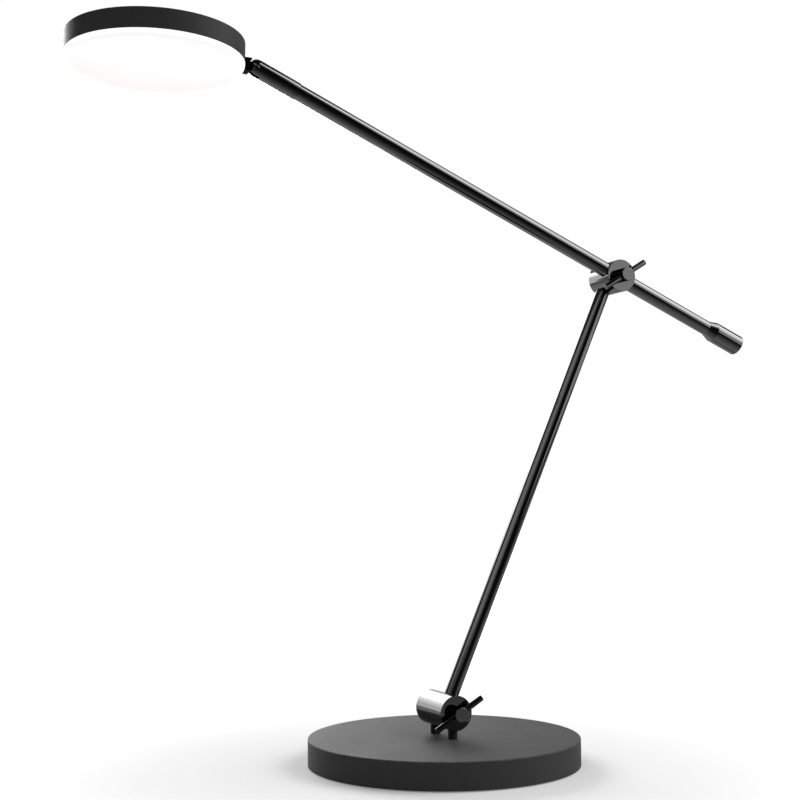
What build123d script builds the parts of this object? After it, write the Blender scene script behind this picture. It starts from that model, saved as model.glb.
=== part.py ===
from build123d import *
import os
from math import cos, radians, sin

# Desk lamp with a round base, two arms, a tail weight and a flat round head.
# Millimetres and degrees. Z is up, the arms move in planes parallel to XZ, the head
# reaches towards -X, the tail weight towards +X and the clamp bars are on the -Y side.
# The origin is the centre of the face that stands on the table.

# Base
base_diameter = 225.0
base_height = 22.4
base_edge_radius = 1.0
shell_wall = 2.4
shell_top = 3.0
shell_lift = 0.8
pad_thickness = 2.0
pad_inset = 2.5
cover_thickness = 1.6
ballast_thickness = 12.0
cover_screw_count = 3
cover_circle_diameter = 170.0
cover_boss_diameter = 12.0

# Low-voltage inlet and driver board at the back of the base
inlet_nose_diameter = 8.0
inlet_bore = 5.6
inlet_bore_depth = 9.0
inlet_pin_diameter = 2.0
inlet_body_width = 11.0
inlet_body_depth = 12.0
board_width = 44.0
board_length = 42.0
board_thickness = 1.6
board_edge_rest = 4.0
board_back_gap = 3.2
driver_pocket_height = 9.2
choke_size = 7.0
capacitor_diameter = 6.0

# Clamp joints
pivot_height = 43.7
barrel_diameter = 28.6
base_barrel_length = 46.0
post_diameter = 8.0
post_from_barrel_end = 7.0
post_top_below_axis = 8.6
arm_knuckle_width = 14.4
top_rear_knuckle_behind = 8.7
top_rear_knuckle_ahead = 7.3
top_front_knuckle_behind = 7.6
top_front_knuckle_ahead = 7.4
barrel_edge_radius = 0.3
seam_edge_radius = 0.1
knuckle_gap = 0.15
washer_diameter = 12.0
washer_thickness = 0.7
washer_proud = 0.1
clamp_boss_diameter = 12.0
clamp_boss_length = 10.0
clamp_boss_chamfer = 0.4
clamp_shank_diameter = 6.0
clamp_bar_diameter = 5.0
clamp_bar_past_drum = 9.7
clamp_bar_ahead = 5.2
clamp_bar_chamfer = 0.4
clamp_seat_gap = 0.1
clamp_blind_wall = 3.5
base_bar_angle = 30.0
top_bar_angle = 31.0

# Arms
lower_arm_y = -3.2
lower_lean = 24.4
lower_arm_length = 406.5
lower_tube_diameter = 12.0
lower_tube_wall = 1.5
tube_end_from_axis = 6.5
upper_rise = 23.3
upper_tube_diameter = 13.0
upper_tube_wall = 1.5
upper_tube_to_tail = 105.0
upper_tube_to_head = 330.0
grommet_length = 5.0
lead_diameter = 3.0
upper_lead_start = 9.0

# Tail weight
weight_cone_length = 8.2
weight_diameter = 18.4
weight_length = 29.2
weight_edge_radius = 0.8
weight_spigot_length = 16.0

# Swivel sleeve and head hinge
sleeve_diameter = 14.0
pin_from_top_joint = 367.0
sleeve_spigot_length = 20.0
sleeve_lead_bore = 3.6
groove_width = 3.2
groove_depth = 0.9
groove_from_tube_end = 10.0
grub_diameter = 3.0
grub_point_gap = 0.1
tongue_thickness = 4.0
tongue_side_gap = 0.3
tongue_eye_radius = 4.0
slot_floor_gap = 0.5
hinge_pin_diameter = 3.0
hinge_pin_length = 13.0
bracket_gap = 0.5
bracket_width = 12.0
bracket_above_pin = 5.8
bracket_below_pin = 4.2
bracket_nose = 5.7

# Head
head_pitch = 1.2
head_diameter = 136.8
head_height = 15.9
head_top_thickness = 2.0
head_wall = 1.2
head_edge_radius = 0.8
head_from_pin = 13.2
rim_below_pin = 5.3
diffuser_thickness = 2.0
diffuser_skirt = 6.0
diffuser_edge_drop = 4.8
diffuser_edge_radius = 4.0
diffuser_crown = 1.8
led_board_gap = 0.2
led_board_thickness = 1.6
led_length = 3.5
led_width = 2.8
led_height = 0.7
led_rim_margin = 8.0
led_rings = 3
leds_in_first_ring = 6
board_screw_count = 3
board_screw_grip = 1.5
reflector_wall = 1.0
reflector_slope = 5.0
bracket_screw_spacing = 7.0
bracket_screw_grip = 5.0

# Fits between pieces that stay together and between pieces that turn
seat_gap = 0.02
running_gap = 0.05
loose_gap = 0.1
casing_gap = 0.3

# Screws
post_screw_shank = 5.0
post_screw_head = 8.5
post_screw_head_height = 5.0
post_screw_grip = 9.0
cover_screw_shank = 3.0
cover_screw_head = 5.6
cover_screw_head_height = 1.3
cover_screw_grip = 7.0
driver_screw_shank = 2.5
driver_screw_head = 4.5
driver_screw_head_height = 1.6
driver_screw_grip = 5.0
led_screw_shank = 3.0
led_screw_head = 5.5
led_screw_head_height = 1.8
bracket_screw_shank = 2.5
bracket_screw_head = 4.2
bracket_screw_head_height = 1.6

# Heights inside the base, from the table upwards
cover_top = pad_thickness + cover_thickness
ballast_top = base_height - shell_top
ballast_bottom = ballast_top - ballast_thickness
post_screw_seat = ballast_bottom + post_screw_head_height
cover_screw_seat = pad_thickness + cover_screw_head_height
casing_diameter = base_diameter - 2 * shell_wall - 2 * casing_gap

# Bar of a clamp screw, which reaches past the drum on both sides
clamp_bar_length = barrel_diameter + 2 * clamp_bar_past_drum

# Places along Y
barrel_front = -base_barrel_length / 2
barrel_back = base_barrel_length / 2
post_places = (barrel_front + post_from_barrel_end, barrel_back - post_from_barrel_end)
arm_knuckle_front = lower_arm_y - arm_knuckle_width / 2
arm_knuckle_back = lower_arm_y + arm_knuckle_width / 2
top_seam = lower_arm_y - top_rear_knuckle_ahead
top_front_back = top_seam - knuckle_gap
upper_arm_y = top_front_back - top_front_knuckle_behind
top_front = upper_arm_y - top_front_knuckle_ahead
top_back = lower_arm_y + top_rear_knuckle_behind

# Frames: each arm's frame has its Z axis along the arm, the head's has its X axis
# away from the head; all of them keep the lamp's Y axis
base_frame = Pos(0, 0, pivot_height)
lower_frame = base_frame * Rot(0, lower_lean, 0)
top_frame = lower_frame * Pos(0, 0, lower_arm_length)
upper_frame = Pos(top_frame.position) * Rot(0, upper_rise - 90, 0)
pin_frame = Pos((upper_frame * Pos(0, 0, pin_from_top_joint)).position) * Rot(0, head_pitch, 0)
head_frame = pin_frame * Pos(-head_diameter / 2 - head_from_pin, upper_arm_y, -rim_below_pin)


def rod(diameter, low, high):
    """Cylinder along Z from one height to another."""
    align = (Align.CENTER, Align.CENTER, Align.MIN)
    return Pos(0, 0, low) * Cylinder(diameter / 2, high - low, align=align)


def across(diameter, front, back):
    """Cylinder along Y from one place to another."""
    return Pos(0, back, 0) * Rot(90, 0, 0) * rod(diameter, 0, back - front)


def barrel(front, back, front_edge, back_edge):
    """Piece of a clamp joint's drum, its two edges broken by their own radii."""
    drum = across(barrel_diameter, front, back)
    drum = fillet(drum.edges().group_by(Axis.Y)[0], front_edge)
    return fillet(drum.edges().group_by(Axis.Y)[-1], back_edge)


def polar_places(count, circle, first=90.0):
    """Points evenly spaced round a circle."""
    angles = [radians(first + 360 * step / count) for step in range(count)]
    return [(circle / 2 * cos(angle), circle / 2 * sin(angle)) for angle in angles]


def head_screw(shank, head, height, seat, grip):
    """Screw along Z whose cylindrical head hangs below its seat and whose shank rises."""
    return rod(head, seat - height, seat) + rod(shank, seat, seat + grip)


def write(name, shape):
    """Write one sub-part, as one solid or as a group of alike solids."""
    export_step(shape, f"parts/{name}.step")


# Base -----------------------------------------------------------------------------

inlet_height = ballast_bottom + inlet_nose_diameter / 2
inlet_back = base_diameter / 2 - shell_wall / 2


def base_shell():
    """Turned cap: a top plate and a side wall, open below."""
    cap = rod(base_diameter, shell_lift, base_height)
    cap = fillet(cap.edges().group_by(Axis.Z)[-1], base_edge_radius)
    cap -= rod(base_diameter - 2 * shell_wall, shell_lift, ballast_top)
    for place in post_places:
        cap -= Pos(0, place, 0) * rod(post_screw_shank + 2 * loose_gap, ballast_top, base_height)
    nose = inlet_nose_diameter + 2 * loose_gap
    back = base_diameter / 2
    return cap - Pos(0, 0, inlet_height) * across(nose, back - 2 * shell_wall, back)


def driver_pocket():
    """Room in the ballast plate for the parts on the driver board, out to its edge."""
    width = board_width - 2 * board_edge_rest
    depth = board_length - board_edge_rest
    back = casing_diameter / 2
    corner = (Align.CENTER, Align.MAX, Align.MIN)
    return Pos(0, back, ballast_bottom) * Box(width, depth, driver_pocket_height, align=corner)


def driver_screw_places():
    """Two places beside the driver pocket where the board is held."""
    side = board_width / 2 - board_edge_rest / 2 - seat_gap
    return [(side, board_middle()), (-side, board_middle())]


def board_middle():
    """Middle of the driver board along Y."""
    return casing_diameter / 2 - board_back_gap - board_length / 2


def ballast_plate():
    """Heavy disc under the shell's top plate, with bosses that carry the cover."""
    plate = rod(casing_diameter, ballast_bottom, ballast_top)
    for x, y in polar_places(cover_screw_count, cover_circle_diameter, -90):
        plate += Pos(x, y, 0) * rod(cover_boss_diameter, cover_top, ballast_bottom)
        plate -= Pos(x, y, 0) * rod(cover_screw_shank, cover_top, cover_top + cover_screw_grip)
    shank = post_screw_shank + 2 * loose_gap
    head = post_screw_head + 2 * casing_gap
    for place in post_places:
        plate -= Pos(0, place, 0) * rod(shank, ballast_bottom, ballast_top)
        plate -= Pos(0, place, 0) * rod(head, ballast_bottom, post_screw_seat)
    for x, y in driver_screw_places():
        plate -= Pos(x, y, 0) * rod(driver_screw_shank, ballast_bottom, ballast_bottom + driver_screw_grip)
    return plate - driver_pocket()


def base_cover():
    """Thin plate that closes the base from below."""
    plate = rod(casing_diameter, pad_thickness, cover_top)
    shank = cover_screw_shank + 2 * loose_gap
    head = cover_screw_head + 2 * loose_gap
    for x, y in polar_places(cover_screw_count, cover_circle_diameter, -90):
        plate -= Pos(x, y, 0) * rod(shank, pad_thickness, cover_top)
        plate -= Pos(x, y, 0) * rod(head, pad_thickness, cover_screw_seat)
    return plate


def cover_screws():
    """Low-head screws of the cover, sunk into it."""
    grip = cover_screw_grip - loose_gap
    screw = head_screw(cover_screw_shank, cover_screw_head, cover_screw_head_height, cover_screw_seat, grip)
    places = polar_places(cover_screw_count, cover_circle_diameter, -90)
    return Compound(children=[Pos(x, y, 0) * screw for x, y in places])


def foot_pad():
    """Non-slip disc that the lamp stands on."""
    return rod(casing_diameter - 2 * pad_inset, 0, pad_thickness)


def post_screws():
    """Cap screws that pull the posts, the shell and the ballast plate together."""
    grip = base_height - post_screw_seat + post_screw_grip
    screw = head_screw(post_screw_shank, post_screw_head, post_screw_head_height, post_screw_seat, grip)
    return Compound(children=[Pos(0, place, 0) * screw for place in post_places])


def driver_board():
    """Circuit board under the ballast plate, with a choke and two capacitors on it."""
    middle = board_middle()
    low = ballast_bottom - board_thickness
    flat = (Align.CENTER, Align.CENTER, Align.MIN)
    board = Pos(0, middle, low) * Box(board_width, board_length, board_thickness, align=flat)
    for x, y in driver_screw_places():
        board -= Pos(x, y, 0) * rod(driver_screw_shank + 2 * loose_gap, low, ballast_bottom)
    board += Pos(choke_size, middle, ballast_bottom) * Box(choke_size, choke_size, choke_size, align=flat)
    for step in (-1, 1):
        tall = rod(capacitor_diameter, ballast_bottom, ballast_bottom + choke_size)
        board += Pos(-choke_size, middle + step * capacitor_diameter, 0) * tall
    return board


def driver_screws():
    """Two small screws of the driver board."""
    seat = ballast_bottom - board_thickness
    grip = board_thickness + driver_screw_grip - loose_gap
    screw = head_screw(driver_screw_shank, driver_screw_head, driver_screw_head_height, seat, grip)
    return Compound(children=[Pos(x, y, 0) * screw for x, y in driver_screw_places()])


def power_inlet():
    """Round low-voltage socket: a block on the board and a nose in the shell's wall."""
    block_back = casing_diameter / 2 - casing_gap
    corner = (Align.CENTER, Align.MAX, Align.MIN)
    block = Box(inlet_body_width, inlet_body_depth, inlet_nose_diameter, align=corner)
    socket = Pos(0, block_back, ballast_bottom) * block
    socket += Pos(0, 0, inlet_height) * across(inlet_nose_diameter, block_back, inlet_back)
    socket -= Pos(0, 0, inlet_height) * across(inlet_bore, inlet_back - inlet_bore_depth, inlet_back)
    pin = across(inlet_pin_diameter, inlet_back - inlet_bore_depth, inlet_back - shell_wall / 2)
    return socket + Pos(0, 0, inlet_height) * pin


def post(place):
    """Short pillar between the base and an outer knuckle, tapped from below."""
    pillar = rod(post_diameter, base_height, pivot_height - post_top_below_axis)
    pillar -= rod(post_screw_shank, base_height, base_height + post_screw_grip + loose_gap)
    return Pos(0, place, 0) * pillar


# Base joint -----------------------------------------------------------------------

def post_socket(place):
    """Blind hole in an outer knuckle for the top of its post."""
    low = pivot_height - barrel_diameter
    return Pos(0, place, 0) * rod(post_diameter + 2 * seat_gap, low, pivot_height - post_top_below_axis)


def base_knuckle_front():
    """Front third of the base drum, on the front post."""
    drum = barrel(barrel_front, arm_knuckle_front - knuckle_gap, barrel_edge_radius, seam_edge_radius)
    drum -= across(clamp_shank_diameter + 2 * running_gap, barrel_front, arm_knuckle_front)
    return base_frame * drum - post_socket(post_places[0])


def base_knuckle_rear():
    """Rear third of the base drum, on the rear post, with the blind thread of the clamp."""
    front = arm_knuckle_back + knuckle_gap
    drum = barrel(front, barrel_back, seam_edge_radius, barrel_edge_radius)
    bore = clamp_shank_diameter + 2 * running_gap
    drum -= across(bore, front, barrel_back - clamp_blind_wall + loose_gap)
    return base_frame * drum - post_socket(post_places[1])


def washer_pocket(face, inward):
    """Shallow recess in a knuckle's face for a friction washer."""
    depth = washer_thickness - washer_proud
    ends = sorted((face, face + inward * depth))
    return across(washer_diameter + 2 * loose_gap, ends[0], ends[1])


def washer(face, inward):
    """Friction washer that stands slightly proud of its recess."""
    ends = sorted((face - inward * washer_proud, face + inward * (washer_thickness - washer_proud)))
    bore = across(clamp_shank_diameter + 2 * running_gap, ends[0], ends[1])
    return across(washer_diameter, ends[0], ends[1]) - bore


def arm_knuckle():
    """Middle third of the base drum, which carries the lower arm."""
    drum = barrel(arm_knuckle_front, arm_knuckle_back, seam_edge_radius, seam_edge_radius)
    drum -= across(clamp_shank_diameter + 2 * running_gap, arm_knuckle_front, arm_knuckle_back)
    drum -= washer_pocket(arm_knuckle_front, 1)
    drum -= washer_pocket(arm_knuckle_back, -1)
    tube = lower_tube_diameter + 2 * seat_gap
    socket = rod(tube, tube_end_from_axis, barrel_diameter) + rod(lead_diameter, 0, tube_end_from_axis)
    return lower_frame * (drum - Pos(0, lower_arm_y, 0) * socket)


def base_washers():
    """The two friction washers of the base joint."""
    pair = [washer(arm_knuckle_front, 1), washer(arm_knuckle_back, -1)]
    return base_frame * Compound(children=pair)


def clamp_screw(front, shank_end):
    """T-screw: a boss in front of the drum and a shank through the knuckles."""
    back = front - clamp_seat_gap
    boss = across(clamp_boss_diameter, back - clamp_boss_length, back)
    boss = chamfer(boss.edges().group_by(Axis.Y)[0], clamp_boss_chamfer)
    hole = across(clamp_bar_diameter + 2 * seat_gap, -clamp_boss_diameter, clamp_boss_diameter)
    boss -= Pos(0, front - clamp_bar_ahead, 0) * Rot(0, 0, 90) * hole
    return boss + across(clamp_shank_diameter, back, shank_end)


def clamp_bar(front):
    """Plain bar through the boss of a clamp screw, along X."""
    bar = Rot(0, 0, 90) * across(clamp_bar_diameter, -clamp_bar_length / 2, clamp_bar_length / 2)
    bar = chamfer(bar.edges().filter_by(GeomType.CIRCLE), clamp_bar_chamfer)
    return Pos(0, front - clamp_bar_ahead, 0) * bar


def base_turn():
    """Frame of the base clamp, turned so that its bar stands at its angle."""
    return base_frame * Rot(0, -base_bar_angle, 0)


# Lower arm ------------------------------------------------------------------------

lower_tube_bore = lower_tube_diameter - 2 * lower_tube_wall
lower_tube_top = lower_arm_length - tube_end_from_axis


def on_lower_arm(shape):
    """Move a shape made along Z onto the lower arm's axis."""
    return lower_frame * Pos(0, lower_arm_y, 0) * shape


def lower_arm_tube():
    """Straight tube between the arm knuckle and the top rear knuckle."""
    tube = rod(lower_tube_diameter, tube_end_from_axis, lower_tube_top)
    return on_lower_arm(tube - rod(lower_tube_bore, tube_end_from_axis, lower_tube_top))


def grommet(bore, low, high):
    """Ring that holds the lead in the middle of a tube."""
    return rod(bore - 2 * seat_gap, low, high) - rod(lead_diameter + 2 * seat_gap, low, high)


def lower_arm_grommets():
    """A grommet in each end of the lower tube."""
    low = grommet(lower_tube_bore, tube_end_from_axis, tube_end_from_axis + grommet_length)
    high = grommet(lower_tube_bore, lower_tube_top - grommet_length, lower_tube_top)
    return on_lower_arm(Compound(children=[low, high]))


def lower_arm_lead():
    """Straight run of the lead inside the lower tube."""
    return on_lower_arm(rod(lead_diameter, tube_end_from_axis, lower_tube_top))


def top_knuckle_rear():
    """Rear half of the top drum, on the lower tube, with the blind thread of the clamp."""
    drum = barrel(top_seam, top_back, seam_edge_radius, barrel_edge_radius)
    bore = clamp_shank_diameter + 2 * running_gap
    drum -= across(bore, top_seam, top_back - clamp_blind_wall + loose_gap)
    drum -= washer_pocket(top_seam, 1)
    tube = lower_tube_diameter + 2 * seat_gap
    socket = rod(tube, -barrel_diameter, -tube_end_from_axis) + rod(lead_diameter, -tube_end_from_axis, 0)
    return top_frame * (drum - Pos(0, lower_arm_y, 0) * socket)


def top_washer():
    """Friction washer of the top joint."""
    return top_frame * washer(top_seam, 1)


def top_turn():
    """Frame of the top clamp, turned so that its bar stands at its angle."""
    return Pos(top_frame.position) * Rot(0, -top_bar_angle, 0)


# Upper arm ------------------------------------------------------------------------

upper_tube_bore = upper_tube_diameter - 2 * upper_tube_wall


def on_upper_arm(shape):
    """Move a shape made along Z onto the upper arm's axis, the head being up."""
    return upper_frame * Pos(0, upper_arm_y, 0) * shape


def top_knuckle_front():
    """Front half of the top drum, with a cross hole for the upper tube."""
    drum = barrel(top_front, top_front_back, barrel_edge_radius, seam_edge_radius)
    drum -= across(clamp_shank_diameter + 2 * running_gap, top_front, top_front_back)
    tube = upper_tube_diameter + 2 * seat_gap
    return upper_frame * (drum - Pos(0, upper_arm_y, 0) * rod(tube, -barrel_diameter, barrel_diameter))


def upper_arm_tube():
    """Straight tube through the top joint, cross-drilled for the clamp screw."""
    tube = rod(upper_tube_diameter, -upper_tube_to_tail, upper_tube_to_head)
    tube -= rod(upper_tube_bore, -upper_tube_to_tail, upper_tube_to_head)
    tube -= across(clamp_shank_diameter + 2 * running_gap, -upper_tube_diameter, upper_tube_diameter)
    grub = across(grub_diameter, 0, upper_tube_diameter)
    return on_upper_arm(tube - Pos(0, 0, upper_tube_to_head - groove_from_tube_end) * grub)


def upper_lead_end():
    """Where the lead of the upper arm reaches the sleeve's spigot."""
    return upper_tube_to_head - sleeve_spigot_length - running_gap


def upper_arm_grommets():
    """Two grommets in the upper tube, beside the clamp screw and before the sleeve."""
    low = grommet(upper_tube_bore, upper_lead_start, upper_lead_start + grommet_length)
    high = grommet(upper_tube_bore, upper_lead_end() - grommet_length, upper_lead_end())
    return on_upper_arm(Compound(children=[low, high]))


def upper_arm_lead():
    """Straight run of the lead inside the upper tube."""
    return on_upper_arm(rod(lead_diameter, upper_lead_start, upper_lead_end()))


def counterweight():
    """Turned weight on the tail: a cone, a cylinder and a spigot in the tube."""
    cone_end = -upper_tube_to_tail - weight_cone_length
    tail = cone_end - weight_length
    body = rod(weight_diameter, tail, cone_end)
    body = fillet(body.edges().group_by(Axis.Z)[0], weight_edge_radius)
    cone = Cone(weight_diameter / 2, upper_tube_diameter / 2, weight_cone_length)
    body += Pos(0, 0, cone_end + weight_cone_length / 2) * cone
    spigot_end = -upper_tube_to_tail + weight_spigot_length
    spigot = rod(upper_tube_bore - 2 * seat_gap, -upper_tube_to_tail, spigot_end)
    return on_upper_arm(body + spigot)


def spigot_diameter():
    """Diameter of the sleeve's spigot, which turns inside the upper tube."""
    return upper_tube_bore - 2 * running_gap


def swivel_grub_screw():
    """Grub screw in the back of the tube, whose point runs in the spigot's groove."""
    point = spigot_diameter() / 2 - groove_depth + grub_point_gap
    screw = across(grub_diameter - 2 * seat_gap, point, upper_tube_diameter / 2)
    return on_upper_arm(Pos(0, 0, upper_tube_to_head - groove_from_tube_end) * screw)


def swivel_sleeve():
    """Sleeve at the head end: spigot, domed body and the slot for the head's tongue."""
    low = upper_tube_to_head + loose_gap
    body = rod(sleeve_diameter, low, pin_from_top_joint)
    body += Pos(0, 0, pin_from_top_joint) * Sphere(sleeve_diameter / 2)
    body += rod(spigot_diameter(), upper_tube_to_head - sleeve_spigot_length, low)
    slot_floor = pin_from_top_joint - tongue_eye_radius - slot_floor_gap
    slot_width = tongue_thickness + 2 * tongue_side_gap
    upward = (Align.CENTER, Align.CENTER, Align.MIN)
    slot = Box(2 * sleeve_diameter, slot_width, 2 * sleeve_diameter, align=upward)
    body -= Pos(0, 0, slot_floor) * slot
    body -= rod(sleeve_lead_bore, upper_tube_to_head - sleeve_spigot_length, slot_floor)
    groove_low = upper_tube_to_head - groove_from_tube_end - groove_width / 2
    ring = rod(sleeve_diameter, groove_low, groove_low + groove_width)
    body -= ring - rod(spigot_diameter() - 2 * groove_depth, groove_low, groove_low + groove_width)
    hole = across(hinge_pin_diameter + 2 * seat_gap, -sleeve_diameter, sleeve_diameter)
    return on_upper_arm(body - Pos(0, 0, pin_from_top_joint) * hole)


def hinge_pin():
    """Cross pin on which the head tilts."""
    half = hinge_pin_length / 2
    return pin_frame * across(hinge_pin_diameter, upper_arm_y - half, upper_arm_y + half)


# Head -----------------------------------------------------------------------------

head_bore = head_diameter - 2 * head_wall
head_inside = head_height - head_top_thickness
diffuser_diameter = head_bore - 2 * loose_gap
reflector_low_radius = diffuser_diameter / 2 - casing_gap - bracket_screw_head_height
reflector_high_radius = reflector_low_radius - reflector_slope
led_board_radius = reflector_high_radius - reflector_wall - led_board_gap
led_ring_pitch = (led_board_radius - led_rim_margin) / led_rings
board_screw_circle = (2 * led_rings - 1) * led_ring_pitch
bracket_screw_rise = diffuser_skirt + casing_gap + bracket_screw_head / 2


def bracket_screw_places():
    """Places of the bracket screws across the head."""
    return (upper_arm_y - bracket_screw_spacing / 2, upper_arm_y + bracket_screw_spacing / 2)


def hinge_bracket():
    """Block on the rim, hollowed round the sleeve's dome, with a tongue and its eye."""
    block_low = (Align.MAX, Align.CENTER, Align.MIN)
    reach = head_from_pin + bracket_width / 2
    height = bracket_above_pin + bracket_below_pin
    block = Pos(-bracket_nose, 0, -bracket_below_pin) * Box(reach, bracket_width, height, align=block_low)
    block -= across(sleeve_diameter + 2 * bracket_gap, -bracket_width, bracket_width)
    tongue = across(2 * tongue_eye_radius, -tongue_thickness / 2, tongue_thickness / 2)
    headward = (Align.MAX, Align.CENTER, Align.CENTER)
    web = Box(head_from_pin, tongue_thickness, 2 * tongue_eye_radius, align=headward)
    block += tongue + web
    block -= across(hinge_pin_diameter + 2 * running_gap, -bracket_width, bracket_width)
    block = pin_frame * Pos(0, upper_arm_y, 0) * block
    block -= head_frame * rod(head_diameter + 2 * seat_gap, -head_height, 2 * head_height)
    for place in bracket_screw_places():
        block -= bracket_screw_line(bracket_screw_shank, place, bracket_screw_grip)
    return block


def bracket_screw_line(diameter, place, grip):
    """Cylinder from just inside the rim out into the bracket."""
    start = head_bore / 2 - casing_gap
    line = Rot(0, 90, 0) * rod(diameter, start, head_diameter / 2 + grip)
    return head_frame * Pos(0, place - upper_arm_y, bracket_screw_rise) * line


def bracket_screws():
    """The two screws that hold the bracket on the rim."""
    seat = head_bore / 2 - casing_gap
    shank = bracket_screw_shank - 2 * seat_gap
    screws = []
    for place in bracket_screw_places():
        button = Rot(0, 90, 0) * rod(bracket_screw_head, seat - bracket_screw_head_height, seat)
        button = head_frame * Pos(0, place - upper_arm_y, bracket_screw_rise) * button
        thread = bracket_screw_line(shank, place, bracket_screw_grip - loose_gap)
        screws.append(button + thread)
    return Compound(children=screws)


def head_housing():
    """Flat cup, open below, that carries the light source."""
    cup = rod(head_diameter, 0, head_height)
    cup = fillet(cup.edges().group_by(Axis.Z)[-1], head_edge_radius)
    cup -= rod(head_bore, 0, head_inside)
    for x, y in polar_places(board_screw_count, board_screw_circle):
        cup -= Pos(x, y, 0) * rod(led_screw_shank, head_inside, head_inside + board_screw_grip)
    cup = head_frame * cup
    for place in bracket_screw_places():
        cup -= bracket_screw_line(bracket_screw_shank, place, bracket_screw_grip)
    return cup


def led_board():
    """Round board under the top of the housing."""
    low = head_inside - led_board_thickness
    board = rod(2 * led_board_radius, low, head_inside)
    for x, y in polar_places(board_screw_count, board_screw_circle):
        board -= Pos(x, y, 0) * rod(led_screw_shank + 2 * loose_gap, low, head_inside)
    return head_frame * board


def leds():
    """Rings of small light sources under the board."""
    chip = Box(led_length, led_width, led_height, align=(Align.CENTER, Align.CENTER, Align.MAX))
    low = head_inside - led_board_thickness
    chips = []
    for ring in range(1, led_rings + 1):
        first = 90 + 180 / (leds_in_first_ring * ring)
        for x, y in polar_places(leds_in_first_ring * ring, 2 * led_ring_pitch * ring, first):
            chips.append(head_frame * Pos(x, y, low) * chip)
    return Compound(children=chips)


def led_board_screws():
    """Screws of the LED board, heads below it."""
    seat = head_inside - led_board_thickness
    grip = led_board_thickness + board_screw_grip - loose_gap
    screw = head_screw(led_screw_shank, led_screw_head, led_screw_head_height, seat, grip)
    places = polar_places(board_screw_count, board_screw_circle)
    return Compound(children=[head_frame * Pos(x, y, 0) * screw for x, y in places])


def reflector_ring():
    """White conical ring between the board and the diffuser's skirt."""
    low = diffuser_skirt
    high = head_inside - led_board_thickness
    height = high - low
    middle = (low + high) / 2
    ring = Cone(reflector_low_radius, reflector_high_radius, height)
    ring -= Cone(reflector_low_radius - reflector_wall, reflector_high_radius - reflector_wall, height)
    return head_frame * Pos(0, 0, middle) * ring


def diffuser_solid(radius, edge_radius, drop, crown, top):
    """Solid of revolution with a rounded lower edge and a slightly crowned face."""
    rim = (radius, -drop)
    crown_arc = TangentArc((0, -drop - crown), rim, tangent=(1, 0))
    sides = Polyline(rim, (radius, top), (0, top), (0, -drop - crown))
    section = make_face(crown_arc + sides)
    corner = section.vertices().group_by(Axis.X)[-1].sort_by(Axis.Y)[0]
    return revolve(Plane.XZ * fillet(corner, edge_radius), Axis.Z)


def diffuser():
    """Opal bowl whose skirt sits in the housing and whose lip lies flush below its rim."""
    wall = diffuser_thickness
    drop = diffuser_edge_drop
    edge = diffuser_edge_radius
    inner = diffuser_diameter / 2 - wall
    outside = diffuser_solid(head_diameter / 2, edge, drop, diffuser_crown, diffuser_skirt)
    inside = diffuser_solid(inner, edge - wall, drop - wall, diffuser_crown, diffuser_skirt + wall)
    rebate = rod(head_diameter + 2 * loose_gap, -seat_gap, diffuser_skirt)
    rebate -= rod(diffuser_diameter, -seat_gap, diffuser_skirt)
    return head_frame * (outside - inside - rebate)


os.makedirs("parts", exist_ok=True)

write("base_shell", base_shell())
write("ballast_plate", ballast_plate())
write("base_cover", base_cover())
write("cover_screws", cover_screws())
write("foot_pad", foot_pad())
write("post_screws", post_screws())
write("driver_board", driver_board())
write("driver_screws", driver_screws())
write("power_inlet", power_inlet())
write("post_front", post(post_places[0]))
write("post_rear", post(post_places[1]))
write("base_knuckle_front", base_knuckle_front())
write("base_knuckle_rear", base_knuckle_rear())
write("arm_knuckle", arm_knuckle())
write("base_washers", base_washers())
write("base_clamp_screw", base_turn() * clamp_screw(barrel_front, barrel_back - clamp_blind_wall))
write("base_clamp_bar", base_turn() * clamp_bar(barrel_front))
write("lower_arm_tube", lower_arm_tube())
write("lower_arm_grommets", lower_arm_grommets())
write("lower_arm_lead", lower_arm_lead())
write("top_knuckle_rear", top_knuckle_rear())
write("top_washer", top_washer())
write("top_clamp_screw", top_turn() * clamp_screw(top_front, top_back - clamp_blind_wall))
write("top_clamp_bar", top_turn() * clamp_bar(top_front))
write("top_knuckle_front", top_knuckle_front())
write("upper_arm_tube", upper_arm_tube())
write("upper_arm_grommets", upper_arm_grommets())
write("upper_arm_lead", upper_arm_lead())
write("counterweight", counterweight())
write("swivel_grub_screw", swivel_grub_screw())
write("swivel_sleeve", swivel_sleeve())
write("hinge_pin", hinge_pin())
write("hinge_bracket", hinge_bracket())
write("bracket_screws", bracket_screws())
write("head_housing", head_housing())
write("led_board", led_board())
write("leds", leds())
write("led_board_screws", led_board_screws())
write("reflector_ring", reflector_ring())
write("diffuser", diffuser())
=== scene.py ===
from math import radians

import bmesh
import bpy
import numpy as np
from mathutils import Matrix, Vector


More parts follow.
